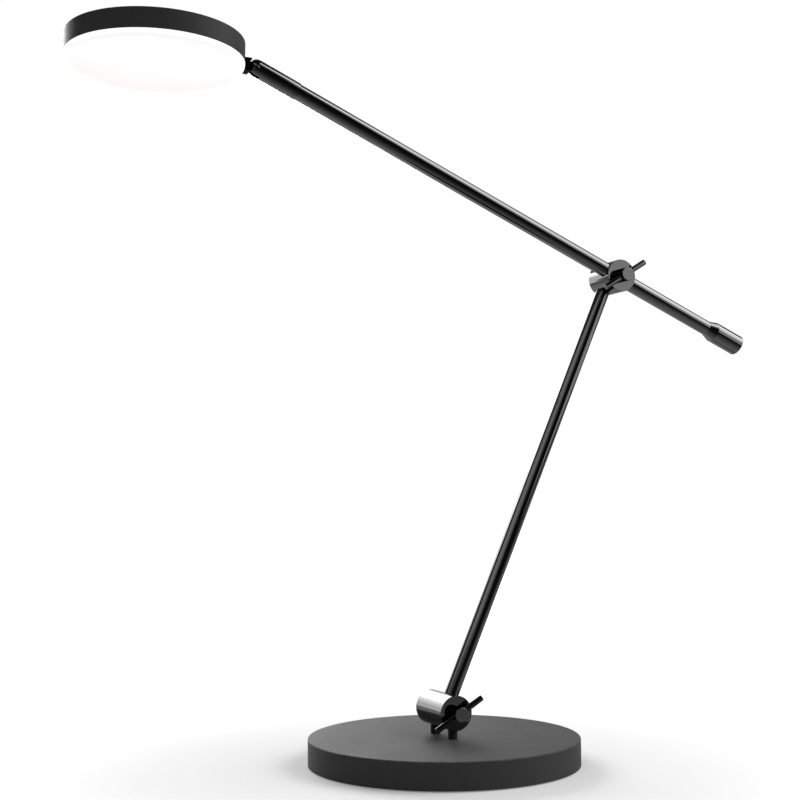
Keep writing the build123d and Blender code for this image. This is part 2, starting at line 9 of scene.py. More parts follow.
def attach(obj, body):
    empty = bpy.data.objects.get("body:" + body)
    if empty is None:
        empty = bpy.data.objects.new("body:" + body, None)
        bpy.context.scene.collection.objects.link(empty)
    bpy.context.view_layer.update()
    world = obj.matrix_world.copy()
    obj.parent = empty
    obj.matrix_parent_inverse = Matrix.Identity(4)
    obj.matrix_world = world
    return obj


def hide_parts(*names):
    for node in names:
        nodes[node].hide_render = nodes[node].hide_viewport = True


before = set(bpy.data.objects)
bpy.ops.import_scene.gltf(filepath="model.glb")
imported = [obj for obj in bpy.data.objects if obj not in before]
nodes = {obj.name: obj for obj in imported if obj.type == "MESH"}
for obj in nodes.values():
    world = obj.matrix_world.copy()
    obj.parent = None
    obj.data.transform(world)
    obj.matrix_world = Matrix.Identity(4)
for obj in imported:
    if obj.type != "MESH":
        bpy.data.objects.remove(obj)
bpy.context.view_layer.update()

# solved from the outlines in the photograph
viewpoint = {
    "place": (-0.51042, -1.01097, 0.21693),
    "right": (0.90605, -0.42309, -0.00797),
    "up": (-0.02426, -0.07074, 0.99720),
    "forward": (0.42247, 0.90332, 0.07436),
    "lens": 60.597,
    "sensor": 36.0,
    "farClip": 60.0,
}


# A camera whose local axes are the picture's right, its up and the way back.
def addCamera(view):
    data = bpy.data.cameras.new("viewCamera")
    data.lens = view["lens"]
    data.sensor_width = view["sensor"]
    data.clip_end = view["farClip"]
    camera = bpy.data.objects.new("viewCamera", data)
    bpy.context.scene.collection.objects.link(camera)
    columns = (Vector(view["right"]), Vector(view["up"]), -Vector(view["forward"]))
    turn = Matrix(columns).transposed().to_4x4()
    camera.matrix_world = Matrix.Translation(view["place"]) @ turn
    bpy.context.scene.camera = camera


addCamera(viewpoint)
print("camera placed")


# Add a node, set its own choices, then link or fill its inputs.
def addNode(tree, kind, settings=None, inputs=None):
    node = tree.nodes.new(kind)
    for key, value in (settings or {}).items():
        setattr(node, key, value)
    for key, value in (inputs or {}).items():
        if isinstance(value, bpy.types.NodeSocket):
            tree.links.new(value, node.inputs[key])
        else:
            node.inputs[key].default_value = value
    return node


# One step of arithmetic on numbers or sockets.
def calc(tree, operation, first, second=0.0, third=0.0):
    inputs = {0: first, 1: second, 2: third}
    return addNode(tree, "ShaderNodeMath", {"operation": operation}, inputs).outputs[0]


# Root of the sum of two squares.
def across(tree, first, second):
    squares = calc(tree, "MULTIPLY_ADD", first, first, calc(tree, "MULTIPLY", second, second))
    return calc(tree, "SQRT", squares)


# Map a value from one range to another, held at both ends.
def spread(tree, value, low, high, newLow=0.0, newHigh=1.0, smooth=False):
    choice = {"interpolation_type": "SMOOTHSTEP" if smooth else "LINEAR"}
    inputs = {"Value": value, "From Min": low, "From Max": high, "To Min": newLow, "To Max": newHigh}
    return addNode(tree, "ShaderNodeMapRange", choice, inputs).outputs["Result"]


# Mix two colours by a mask.
def blendColours(tree, share, first, second):
    node = addNode(tree, "ShaderNodeMix", {"data_type": "RGBA"})
    for name, value in (("Factor_Float", share), ("A_Color", first), ("B_Color", second)):
        socket = next(entry for entry in node.inputs if entry.identifier == name)
        if isinstance(value, bpy.types.NodeSocket):
            tree.links.new(value, socket)
        else:
            socket.default_value = value
    return next(entry for entry in node.outputs if entry.identifier == "Result_Color")


# An empty shader group with named sockets, and its two end nodes.
def newGroup(name, inputs, outputs):
    group = bpy.data.node_groups.new(name, "ShaderNodeTree")
    for label, kind, value in inputs:
        socket = group.interface.new_socket(name=label, in_out="INPUT", socket_type="NodeSocket" + kind)
        if value is not None:
            socket.default_value = value
    for label, kind in outputs:
        group.interface.new_socket(name=label, in_out="OUTPUT", socket_type="NodeSocket" + kind)
    start = group.nodes.new("NodeGroupInput")
    end = group.nodes.new("NodeGroupOutput")
    return group, start, end


# Plain noise from 0 to 1.
def noise(tree, place, scale, detail=2.0, roughness=0.5):
    inputs = {"Vector": place, "Scale": scale, "Detail": detail, "Roughness": roughness}
    return addNode(tree, "ShaderNodeTexNoise", None, inputs).outputs["Fac"]


grainShape = {"finer": 2.7, "fineDetail": 1.0, "maskRange": (0.35, 0.68)}


# Fine orange-peel of a coat: two noises, the finer one weaker, as a height from 0 to 1.
def makeGrain():
    group, start, end = newGroup(
        "coatGrain",
        [("Vector", "Vector", None), ("Scale", "Float", 1800.0), ("Fine Share", "Float", 0.4)],
        [("Height", "Float"), ("Mask", "Float")])
    coarse = noise(group, start.outputs["Vector"], start.outputs["Scale"])
    finer = calc(group, "MULTIPLY", start.outputs["Scale"], grainShape["finer"])
    fine = noise(group, start.outputs["Vector"], finer, grainShape["fineDetail"])
    inverse = calc(group, "SUBTRACT", 1.0, start.outputs["Fine Share"])
    height = calc(group, "MULTIPLY", coarse, inverse)
    height = calc(group, "MULTIPLY_ADD", fine, start.outputs["Fine Share"], height)
    group.links.new(height, end.inputs["Height"])
    group.links.new(spread(group, height, *grainShape["maskRange"]), end.inputs["Mask"])
    return group


smudgeShape = {"noise": {"Detail": 4.0, "Roughness": 0.62, "Distortion": 0.8}, "maskRange": (0.42, 0.7)}


# Faint smudges and wiped streaks: slow noise bent by a slower one, as a roughness.
def makeHandling():
    group, start, end = newGroup(
        "handlingMarks",
        [("Vector", "Vector", None), ("Scale", "Float", 30.0), ("Clean", "Float", 0.05),
         ("Smudged", "Float", 0.12)],
        [("Roughness", "Float")])
    inputs = {"Vector": start.outputs["Vector"], "Scale": start.outputs["Scale"], **smudgeShape["noise"]}
    cloud = addNode(group, "ShaderNodeTexNoise", None, inputs).outputs["Fac"]
    mask = spread(group, cloud, *smudgeShape["maskRange"], smooth=True)
    rough = spread(group, mask, 0.0, 1.0, start.outputs["Clean"], start.outputs["Smudged"])
    group.links.new(rough, end.inputs["Roughness"])
    return group


wearShape = {"noise": (4.0, 0.6), "brokenRange": (0.35, 0.7)}  # detail and roughness of the noise


# Rub along a turned edge: one near a circle of the given radius and height, broken by noise.
def makeRingWear():
    group, start, end = newGroup(
        "ringWear",
        [("Vector", "Vector", None), ("Radius", "Float", 0.1), ("Height", "Float", 0.0),
         ("Width", "Float", 0.001), ("Scale", "Float", 180.0)],
        [("Mask", "Float")])
    parts = addNode(group, "ShaderNodeSeparateXYZ", None, {"Vector": start.outputs["Vector"]}).outputs
    out = calc(group, "SUBTRACT", across(group, parts["X"], parts["Y"]), start.outputs["Radius"])
    high = calc(group, "SUBTRACT", parts["Z"], start.outputs["Height"])
    apart = across(group, out, high)
    near = calc(group, "SUBTRACT", 1.0, calc(group, "DIVIDE", apart, start.outputs["Width"]))
    near = calc(group, "MAXIMUM", near, 0.0)
    patches = noise(group, start.outputs["Vector"], start.outputs["Scale"], *wearShape["noise"])
    broken = spread(group, patches, *wearShape["brokenRange"])
    group.links.new(calc(group, "MULTIPLY", near, broken), end.inputs["Mask"])
    return group


dustShape = {"facingRange": (0.6, 1.0), "noise": (3.0, 0.7), "speckRange": (0.45, 0.75)}


# Dust on faces that look up: the object normal's height times a fine speckle.
def makeDust():
    group, start, end = newGroup(
        "settledDust",
        [("Vector", "Vector", None), ("Scale", "Float", 900.0), ("Amount", "Float", 0.3)],
        [("Mask", "Float")])
    facing = addNode(group, "ShaderNodeTexCoord").outputs["Normal"]
    up = addNode(group, "ShaderNodeSeparateXYZ", None, {"Vector": facing}).outputs["Z"]
    up = spread(group, up, *dustShape["facingRange"], smooth=True)
    speck = noise(group, start.outputs["Vector"], start.outputs["Scale"], *dustShape["noise"])
    speck = spread(group, speck, *dustShape["speckRange"])
    mask = calc(group, "MULTIPLY", calc(group, "MULTIPLY", up, speck), start.outputs["Amount"])
    group.links.new(mask, end.inputs["Mask"])
    return group


coatGrain = makeGrain()
handlingMarks = makeHandling()
ringWear = makeRingWear()
settledDust = makeDust()
print("surface effects made")


# A node material with its shader, its output and object coordinates.
def startMaterial(name):
    material = bpy.data.materials.new(name)
    material.use_nodes = True
    tree = material.node_tree
    tree.nodes.clear()
    shader = tree.nodes.new("ShaderNodeBsdfPrincipled")
    output = tree.nodes.new("ShaderNodeOutputMaterial")
    tree.links.new(shader.outputs["BSDF"], output.inputs["Surface"])
    place = tree.nodes.new("ShaderNodeTexCoord").outputs["Object"]
    return material, tree, shader, place


# Place a shared effect in a material with its own values.
def useGroup(tree, group, inputs):
    return addNode(tree, "ShaderNodeGroup", {"node_tree": group}, inputs).outputs


# Grain over a surface: its height, and two colours mixed by its mask.
def grained(tree, place, scale, fineShare, dark, light):
    grain = useGroup(tree, coatGrain, {"Vector": place, "Scale": scale, "Fine Share": fineShare})
    return grain["Height"], blendColours(tree, grain["Mask"], dark, light)


# Smudges over a surface: the shader's roughness runs from its clean to its smudged value.
def smudge(tree, shader, place, scale, rough):
    clean, smudged = rough
    inputs = {"Vector": place, "Scale": scale, "Clean": clean, "Smudged": smudged}
    marks = useGroup(tree, handlingMarks, inputs)
    tree.links.new(marks["Roughness"], shader.inputs["Roughness"])


# Let a height shape the shader's normal.
def bump(tree, shader, height, distance):
    node = addNode(tree, "ShaderNodeBump", None, {"Height": height, "Distance": distance, "Strength": 1.0})
    tree.links.new(node.outputs["Normal"], shader.inputs["Normal"])


# Coordinates seen from a turned piece: its centre at zero and its axis along Z.
def turnedPlace(tree, place, centre, turn):
    inputs = {"Vector": place, "Location": centre, "Rotation": turn}
    return addNode(tree, "ShaderNodeMapping", {"vector_type": "TEXTURE"}, inputs).outputs["Vector"]


coat = {"fineShare": 0.45, "dustScale": 1400.0, "wearScale": 140.0, "smudgeScale": 24.0}


# Matt powder coat: dark ground, lighter grain tops, dust and a rub along the upper rim.
def coatedMetal(name, look):
    material, tree, shader, place = startMaterial(name)
    height, colour = grained(
        tree, place, look["grainScale"], coat["fineShare"], look["ground"], look["tops"])
    inputs = {"Vector": place, "Scale": coat["dustScale"], "Amount": look["dust"]}
    dust = useGroup(tree, settledDust, inputs)
    colour = blendColours(tree, dust["Mask"], colour, look["dustColour"])
    turned = turnedPlace(tree, place, look["centre"], look["turn"])
    rub = useGroup(tree, ringWear, {
        "Vector": turned, "Radius": look["rimRadius"], "Height": look["rimHeight"],
        "Width": look["rimWidth"], "Scale": coat["wearScale"]})
    worn = calc(tree, "MULTIPLY", rub["Mask"], look["rub"])
    colour = blendColours(tree, worn, colour, look["rubColour"])
    tree.links.new(colour, shader.inputs["Base Color"])
    smudge(tree, shader, place, coat["smudgeScale"], look["rough"])
    shader.inputs["IOR"].default_value = look["ior"]
    shader.inputs["Specular IOR Level"].default_value = look["specular"]
    bump(tree, shader, height, look["grainDepth"])
    return material


rippleFineShare = 0.2


# Black mirror finish: nearly black metal, faint smudges and a very fine lapping ripple.
def polishedBlack(name, look):
    material, tree, shader, place = startMaterial(name)
    height, colour = grained(
        tree, place, look["rippleScale"], rippleFineShare, look["dark"], look["light"])
    tree.links.new(colour, shader.inputs["Base Color"])
    smudge(tree, shader, place, look["smudgeScale"], look["rough"])
    shader.inputs["Metallic"].default_value = 1.0
    shader.inputs["Specular Tint"].default_value = look["grazing"]
    bump(tree, shader, height, look["rippleDepth"])
    return material


stock = {
    "stretch": (1.0, 1.0, 1.0), "fineShare": 0.35, "smudgeScale": 60.0, "metallic": 0.0, "specular": 0.5,
}


# Moulded, cast or plated stock: grain in colour and height over a steady ground.
def plainFinish(name, look):
    material, tree, shader, place = startMaterial(name)
    inputs = {"Vector": place, "Scale": look.get("stretch", stock["stretch"])}
    stretched = addNode(tree, "ShaderNodeMapping", None, inputs).outputs["Vector"]
    height, colour = grained(
        tree, stretched, look["grainScale"], stock["fineShare"], look["dark"], look["light"])
    tree.links.new(colour, shader.inputs["Base Color"])
    smudge(tree, shader, place, stock["smudgeScale"], look["rough"])
    shader.inputs["Metallic"].default_value = look.get("metallic", stock["metallic"])
    shader.inputs["Specular IOR Level"].default_value = look.get("specular", stock["specular"])
    bump(tree, shader, height, look["grainDepth"])
    return material


# Lit opal: a white body whose glow turns pinker and dimmer towards the rim and the far side, a painted
# shade, and is weaker low on its curved side, painted shade too.
def opalDiffuser(name, look):
    material, tree, shader, place = startMaterial(name)
    turned = turnedPlace(tree, place, look["centre"], look["turn"])
    parts = addNode(tree, "ShaderNodeSeparateXYZ", None, {"Vector": turned}).outputs
    flat = across(tree, parts["X"], parts["Y"])
    # painted shade: the rim and the far side get a pinker, dimmer glow colour
    rimShade = spread(tree, flat, *look["rimShadeRadius"], *look["rimShadeShare"], smooth=True)
    rimShade = calc(tree, "MULTIPLY", rimShade, spread(tree, parts["Y"], *look["farShadeDepth"]))
    cloud = noise(tree, place, *look["cloud"])
    rimShade = calc(tree, "MULTIPLY", rimShade, spread(tree, cloud, *look["cloudShare"]))
    colour = blendColours(tree, rimShade, look["glow"], look["shadedRimGlow"])
    tree.links.new(colour, shader.inputs["Emission Color"])
    # painted shade: the glow is weaker low on the curved side
    side = spread(tree, parts["Z"], *look["shadedSideHeight"], *look["strength"], smooth=True)
    tree.links.new(side, shader.inputs["Emission Strength"])
    height, body = grained(
        tree, place, look["grainScale"], look["fineShare"], look["body"], look["bodyLight"])
    tree.links.new(body, shader.inputs["Base Color"])
    smudge(tree, shader, place, look["smudgeScale"], look["rough"])
    shader.inputs["Specular IOR Level"].default_value = look["specular"]
    bump(tree, shader, height, look["grainDepth"])
    return material


# A neutral colour.
def grey(level):
    return (level, level, level, 1.0)


headPitch = radians(1.2)
headTilt = {"centre": (-0.25083, -0.01825, 0.55547), "turn": (0.0, headPitch, 0.0)}

basePaint = coatedMetal("basePaint", {
    "ground": grey(0.029), "tops": grey(0.04), "grainScale": 2400.0, "grainDepth": 0.00003,
    "dust": 0.10, "dustColour": grey(0.3), "centre": (0.0, 0.0, 0.0), "turn": (0.0, 0.0, 0.0),
    "rimRadius": 0.1122, "rimHeight": 0.0221, "rimWidth": 0.0012, "rub": 0.35, "rubColour": grey(0.12),
    "rough": (0.58, 0.62), "ior": 1.28, "specular": 0.13})
headPaint = coatedMetal("headPaint", {
    "ground": grey(0.021), "tops": grey(0.03), "grainScale": 2600.0, "grainDepth": 0.00002,
    "dust": 0.08, "dustColour": grey(0.3), "centre": headTilt["centre"], "turn": headTilt["turn"],
    "rimRadius": 0.0682, "rimHeight": 0.0157, "rimWidth": 0.0009, "rub": 0.3, "rubColour": grey(0.12),
    "rough": (0.54, 0.58), "ior": 1.25, "specular": 0.2})
blackChrome = polishedBlack("blackChrome", {
    "dark": grey(0.082), "light": grey(0.092), "rough": (0.03, 0.055), "smudgeScale": 55.0,
    "rippleScale": 700.0, "rippleDepth": 0.0000006, "grazing": grey(0.5)})
sleeveBlack = polishedBlack("sleeveBlack", {
    "dark": grey(0.07), "light": grey(0.08), "rough": (0.04, 0.07), "smudgeScale": 70.0,
    "rippleScale": 900.0, "rippleDepth": 0.0000006, "grazing": grey(0.5)})
postBlack = plainFinish("postBlack", {
    "dark": grey(0.01), "light": grey(0.015), "grainScale": 2200.0, "grainDepth": 0.000006,
    "rough": (0.45, 0.55), "specular": 0.15})
bracketBlack = polishedBlack("bracketBlack", {
    "dark": grey(0.014), "light": grey(0.02), "rough": (0.2, 0.3), "smudgeScale": 120.0,
    "rippleScale": 1800.0, "rippleDepth": 0.000002, "grazing": grey(0.4)})
ballastIron = plainFinish("ballastIron", {
    "dark": (0.06, 0.058, 0.056, 1.0), "light": (0.16, 0.155, 0.15, 1.0), "grainScale": 320.0,
    "grainDepth": 0.0002, "rough": (0.55, 0.75), "metallic": 0.8})
zincSteel = plainFinish("zincSteel", {
    "dark": (0.42, 0.43, 0.45, 1.0), "light": (0.62, 0.63, 0.64, 1.0), "grainScale": 500.0,
    "grainDepth": 0.000006, "rough": (0.28, 0.42), "metallic": 1.0, "stretch": (1.0, 0.08, 1.0)})
screwSteel = plainFinish("screwSteel", {
    "dark": grey(0.2), "light": grey(0.34), "grainScale": 1600.0, "grainDepth": 0.000004,
    "rough": (0.22, 0.34), "metallic": 1.0})
padRubber = plainFinish("padRubber", {
    "dark": grey(0.016), "light": grey(0.04), "grainScale": 900.0, "grainDepth": 0.00008,
    "rough": (0.75, 0.9)})
circuitBoard = plainFinish("circuitBoard", {
    "dark": (0.008, 0.11, 0.035, 1.0), "light": (0.02, 0.2, 0.07, 1.0), "grainScale": 420.0,
    "grainDepth": 0.00002, "rough": (0.25, 0.4)})
blackPlastic = plainFinish("blackPlastic", {
    "dark": grey(0.014), "light": grey(0.026), "grainScale": 2200.0, "grainDepth": 0.00002,
    "rough": (0.4, 0.52)})
washerPlastic = plainFinish("washerPlastic", {
    "dark": (0.62, 0.6, 0.55, 1.0), "light": (0.74, 0.72, 0.66, 1.0), "grainScale": 900.0,
    "grainDepth": 0.00001, "rough": (0.4, 0.5)})
leadSheath = plainFinish("leadSheath", {
    "dark": grey(0.03), "light": grey(0.06), "grainScale": 1200.0, "grainDepth": 0.00002,
    "rough": (0.45, 0.6), "stretch": (1.0, 1.0, 0.2)})
boardWhite = plainFinish("boardWhite", {
    "dark": grey(0.78), "light": grey(0.84), "grainScale": 500.0, "grainDepth": 0.00001,
    "rough": (0.3, 0.42)})
ledYellow = plainFinish("ledYellow", {
    "dark": (0.82, 0.62, 0.16, 1.0), "light": (0.9, 0.74, 0.26, 1.0), "grainScale": 1500.0,
    "grainDepth": 0.00001, "rough": (0.35, 0.5)})
reflectorWhite = plainFinish("reflectorWhite", {
    "dark": grey(0.84), "light": grey(0.9), "grainScale": 1200.0, "grainDepth": 0.00001,
    "rough": (0.4, 0.55)})
opal = opalDiffuser("opal", {
    "centre": headTilt["centre"], "turn": headTilt["turn"],
    # painted shade: the glow turns pinker towards the rim and the far side, and weaker on the lower side
    "rimShadeRadius": (0.04, 0.0684), "rimShadeShare": (0.7, 1.0), "farShadeDepth": (-0.01, 0.068),
    "cloud": (40.0, 3.0), "cloudShare": (0.2, 0.8, 0.9, 1.0), "shadedSideHeight": (-0.0046, -0.0022),
    "grainScale": 2600.0, "fineShare": 0.4, "grainDepth": 0.000004, "smudgeScale": 30.0,
    "rough": (0.5, 0.58), "specular": 0.1,
    "glow": (1.0, 1.0, 1.0, 1.0), "shadedRimGlow": (0.925, 0.795, 0.765, 1.0), "strength": (0.852, 0.95),
    "body": (0.12, 0.118, 0.118, 1.0), "bodyLight": (0.15, 0.147, 0.147, 1.0)})

finishes = {
    basePaint: ["base_shell"],
    headPaint: ["head_housing"],
    blackChrome: ["base_knuckle_front", "base_knuckle_rear", "arm_knuckle", "base_clamp_screw",
                  "base_clamp_bar", "lower_arm_tube", "top_knuckle_rear", "top_clamp_screw",
                  "top_clamp_bar", "top_knuckle_front", "upper_arm_tube", "counterweight"],
    sleeveBlack: ["swivel_sleeve"],
    postBlack: ["post_front", "post_rear"],
    bracketBlack: ["hinge_bracket"],
    ballastIron: ["ballast_plate"],
    zincSteel: ["base_cover"],
    screwSteel: ["cover_screws", "post_screws", "driver_screws", "led_board_screws", "bracket_screws",
                 "swivel_grub_screw", "hinge_pin"],
    padRubber: ["foot_pad"],
    circuitBoard: ["driver_board"],
    blackPlastic: ["power_inlet", "lower_arm_grommets", "upper_arm_grommets"],
    washerPlastic: ["base_washers", "top_washer"],
    leadSheath: ["lower_arm_lead", "upper_arm_lead"],
    boardWhite: ["led_board"],
    ledYellow: ["leds"],
    reflectorWhite: ["reflector_ring"],
    opal: ["diffuser"],
}
for material, names in finishes.items():
    for name in names:
        slots = nodes[name].data.materials
        slots.clear()
        slots.append(material)
print("finishes applied")


arcs = {"fewest": 4, "step": radians(11)}


# Walk a profile with the solid on its left. A corner with a radius becomes an arc tangent to
# both its sides: point = centre + radius * outward normal, the normal turning in equal steps.
# A corner with a radius of None stays one point on a smooth curve.
def roundedProfile(corners, radii, closed):
    corners = np.array(corners, float)
    count = len(corners)
    points, normals = [], []
    for index in range(count):
        corner = corners[index]
        before = corners[index - 1] if closed or index else None
        after = corners[(index + 1) % count] if closed or index < count - 1 else None
        incoming = None if before is None else (corner - before) / np.linalg.norm(corner - before)
        outgoing = None if after is None else (after - corner) / np.linalg.norm(after - corner)
        if incoming is None or outgoing is None or radii[index] is None:
            sides = [side for side in (incoming, outgoing) if side is not None]
            along = np.sum(sides, axis=0)
            along = along / np.linalg.norm(along)
            points.append([corner])
            normals.append([(along[1], -along[0])])
            continue
        turn = np.arctan2(incoming[0] * outgoing[1] - incoming[1] * outgoing[0], incoming @ outgoing)
        steps = max(arcs["fewest"], int(np.ceil(abs(turn) / arcs["step"])))
        start = np.arctan2(-incoming[0], incoming[1])
        angles = start + turn * np.linspace(0.0, 1.0, steps + 1)
        outward = np.stack([np.cos(angles), np.sin(angles)], axis=1)
        reach = radii[index] * np.sign(turn)
        centre = corner - incoming * radii[index] * np.tan(abs(turn) / 2) - outward[0] * reach
        points.append(centre + outward * reach)
        normals.append(outward)
    points, normals = np.concatenate(points), np.concatenate(normals)
    if closed:
        points, normals = (np.concatenate([part, part[:1]]) for part in (points, normals))
    return points, normals


# Carry a profile round an axis: point = place + axis * height + radius * (side * cos + other * sin).
# A row that lies on the axis is one vertex, and a closed profile's last row is its first.
def turnedGrid(profile, place, axis, steps):
    points, outward = profile
    axis = np.array(axis, float) / np.linalg.norm(axis)
    nearlyAlongY = abs(axis[1]) >= 0.9
    side = np.cross(axis, (1.0, 0.0, 0.0) if nearlyAlongY else (0.0, 1.0, 0.0))
    side /= np.linalg.norm(side)
    other = np.cross(axis, side)
    closed = np.allclose(points[0], points[-1])
    rows = len(points) - 1 if closed else len(points)
    onAxis = points[:rows, 0] < 1e-9  # metres
    angle = np.linspace(0.0, 2 * np.pi, steps, endpoint=False)
    ring = np.cos(angle)[:, None] * side + np.sin(angle)[:, None] * other
    radius, height = points[:rows, 0, None, None], points[:rows, 1, None, None]
    spots = np.array(place) + height * axis + radius * ring
    facing = outward[:rows, 1, None, None] * axis + outward[:rows, 0, None, None] * ring
    facing[onAxis] = (np.sign(outward[:rows, 1])[:, None, None] * axis)[onAxis]
    used = np.ones((rows, steps), bool)  # a row on the axis keeps one vertex
    used[onAxis, 1:] = False
    index = np.cumsum(used.ravel()).reshape(rows, steps) - 1
    index[onAxis] = index[onAxis, :1]
    if closed:
        index = np.concatenate([index, index[:1]])
    nextIndex = np.roll(index, -1, axis=1)
    quads = np.stack([index[:-1], nextIndex[:-1], nextIndex[1:], index[1:]], axis=2).reshape(-1, 4)
    # the chart runs with the turn across and with the metres along the profile up
    run = np.concatenate([[0.0], np.cumsum(np.linalg.norm(np.diff(points, axis=0), axis=1))])
    share = np.arange(steps + 1) / steps
    low = np.broadcast_to(run[:-1, None], (len(points) - 1, steps))
    high = np.broadcast_to(run[1:, None], low.shape)
    first = np.broadcast_to(share[:-1], low.shape)
    second = np.broadcast_to(share[1:], low.shape)
    chart = np.stack([first, low, second, low, second, high, first, high], axis=2).reshape(-1, 4, 2)
    # a face that touches the axis is a triangle
    startsOnAxis = quads[:, 0] == quads[:, 1]
    endsOnAxis = quads[:, 2] == quads[:, 3]
    plain = ~startsOnAxis & ~endsOnAxis
    fans = np.concatenate([quads[startsOnAxis][:, [0, 2, 3]], quads[endsOnAxis][:, [0, 1, 2]]])
    fanChart = np.concatenate([chart[startsOnAxis][:, [0, 2, 3]], chart[endsOnAxis][:, [0, 1, 2]]])
    return {
        "spots": spots[used], "facing": facing[used], "quads": quads[plain], "fans": fans,
        "quadChart": chart[plain].reshape(-1, 2), "fanChart": fanChart.reshape(-1, 2),
    }


# A mesh becomes a piece that rides its body and takes the place of a frame node.
def addPiece(name, mesh, body, node):
    piece = bpy.data.objects.new(name, mesh)
    bpy.context.scene.collection.objects.link(piece)
    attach(piece, body)
    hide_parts(node)
    return piece


# Put one or more grids into one mesh, with their exact normals and their chart.
def addTurned(name, grids, material, body, node):
    offsets = np.cumsum([0] + [len(grid["spots"]) for grid in grids[:-1]])
    quads = np.concatenate([grid["quads"] + offset for grid, offset in zip(grids, offsets)])
    fans = np.concatenate([grid["fans"] + offset for grid, offset in zip(grids, offsets)])
    mesh = bpy.data.meshes.new(name)
    spots = np.concatenate([grid["spots"] for grid in grids])
    mesh.from_pydata(spots.tolist(), [], quads.tolist() + fans.tolist())
    chart = np.concatenate([grid["quadChart"] for grid in grids] + [grid["fanChart"] for grid in grids])
    mesh.uv_layers.new(name="chart").data.foreach_set("uv", chart.ravel())
    mesh.polygons.foreach_set("use_smooth", np.ones(len(mesh.polygons), bool))
    facing = np.concatenate([grid["facing"] for grid in grids])
    mesh.normals_split_custom_set_from_vertices(facing.tolist())
    mesh.materials.append(material)
    addPiece(name, mesh, body, node)


copying = {"weld": 2e-6, "sliver": 1e-7, "sharpFrom": radians(28)}


# A merged copy of a frame node, shaded smooth up to its real edges.
def smoothCopy(name, node, material, body):
    mesh = nodes[node].data.copy()
    work = bmesh.new()
    work.from_mesh(mesh)
    bmesh.ops.remove_doubles(work, verts=work.verts, dist=copying["weld"])
    bmesh.ops.dissolve_degenerate(work, edges=work.edges, dist=copying["sliver"])
    work.to_mesh(mesh)
    work.free()
    mesh.name = name
    mesh.materials.clear()
    mesh.materials.append(material)
    mesh.polygons.foreach_set("material_index", np.zeros(len(mesh.polygons), np.int32))
    mesh.shade_smooth()
    mesh.set_sharp_from_angle(angle=copying["sharpFrom"])
    even = addPiece(name, mesh, body, node).modifiers.new("evenNormals", "WEIGHTED_NORMAL")
    even.keep_sharp = True


lowerLean, upperRise = radians(24.4), radians(23.3)  # from upright, from level
arms = {
    "basePivot": (0.0, 0.0, 0.0437), "topPivot": (0.167927, 0.0, 0.413893),
    "lower": {"pivot": "basePivot", "aside": -0.0032, "axis": (np.sin(lowerLean), 0.0, np.cos(lowerLean))},
    "upper": {"pivot": "topPivot", "aside": -0.01825, "axis": (-np.cos(upperRise), 0.0, np.sin(upperRise))},
    "innerEdge": 0.0001, "outerEdge": 0.0002, "steps": 96,
}


# A pivot moved along Y.
def armPlace(pivot, offset):
    return (arms[pivot][0], offset, arms[pivot][2])


# A profile turned round the line of one arm.
def armGrid(profile, side):
    arm = arms[side]
    return turnedGrid(profile, armPlace(arm["pivot"], arm["aside"]), arm["axis"], arms["steps"])


# Cut length of tube with lightly broken ends.
def tubeProfile(tube, low, high):
    corners = [(tube["bore"], low), (tube["outside"], low), (tube["outside"], high), (tube["bore"], high)]
    radii = [arms["innerEdge"], arms["outerEdge"], arms["outerEdge"], arms["innerEdge"]]
    return roundedProfile(corners, radii, True)


lowerTube = {"bore": 0.0045, "outside": 0.006, "low": 0.0065, "high": 0.4}
lowerGrid = armGrid(tubeProfile(lowerTube, lowerTube["low"], lowerTube["high"]), "lower")
addTurned("lowerTube", [lowerGrid], blackChrome, "lower_arm", "lower_arm_tube")

# The clamp's shank crosses the upper tube, so the tube is in two lengths with the shank between them.
upperTube = {"bore": 0.005, "outside": 0.0065, "tail": -0.105, "head": 0.33, "shankClear": 0.0036}
clear = upperTube["shankClear"]
upperLengths = [(upperTube["tail"], -clear), (clear, upperTube["head"])]
upperGrids = [armGrid(tubeProfile(upperTube, low, high), "upper") for low, high in upperLengths]
addTurned("upperTube", upperGrids, blackChrome, "upper_arm", "upper_arm_tube")
print("tubes made")

drums = {
    "radius": 0.0143, "bore": 0.00305, "recess": 0.0061, "recessDepth": 0.0006, "blindWall": 0.0034,
    "endEdge": 0.0003, "seamEdge": 0.00004, "steps": 160,
    "base": (-0.023, -0.01043, -0.0104, 0.004, 0.00403, 0.023),  # both faces of its three parts
    "top": (-0.02565, -0.01053, -0.0105, 0.0055),  # and of its two
}


# Ring of a clamp joint, bored through, with a washer recess where one is given.
def openDrum(low, high, lowEdge, highEdge, lowRecess=0.0, highRecess=0.0):
    outside, bore, recess = drums["radius"], drums["bore"], drums["recess"]
    fine = drums["seamEdge"] / 2
    corners, radii = [(bore, low + lowRecess)], [fine]
    if lowRecess:
        corners += [(recess, low + lowRecess), (recess, low)]
        radii += [fine, fine]
    corners += [(outside, low), (outside, high)]
    radii += [lowEdge, highEdge]
    if highRecess:
        corners += [(recess, high), (recess, high - highRecess)]
        radii += [fine, fine]
    return roundedProfile(corners + [(bore, high - highRecess)], radii + [fine], True)


# Rear drum of a clamp joint, its bore ending short of the back face.
def blindDrum(low, high, lowRecess):
    outside, bore, recess = drums["radius"], drums["bore"], drums["recess"]
    fine, floor = drums["seamEdge"] / 2, high - drums["blindWall"]
    corners = [(0.0, floor), (bore, floor), (bore, low + lowRecess)]
    radii = [None, fine, fine]
    if lowRecess:
        corners += [(recess, low + lowRecess), (recess, low)]
        radii += [fine, fine]
    corners += [(outside, low), (outside, high), (0.0, high)]
    return roundedProfile(corners, radii + [drums["seamEdge"], drums["endEdge"], None], False)


# A drum lies along Y on its pivot.
def addDrum(name, profile, pivot, body, node):
    grid = turnedGrid(profile, arms[pivot], (0.0, 1.0, 0.0), drums["steps"])
    addTurned(name, [grid], blackChrome, body, node)


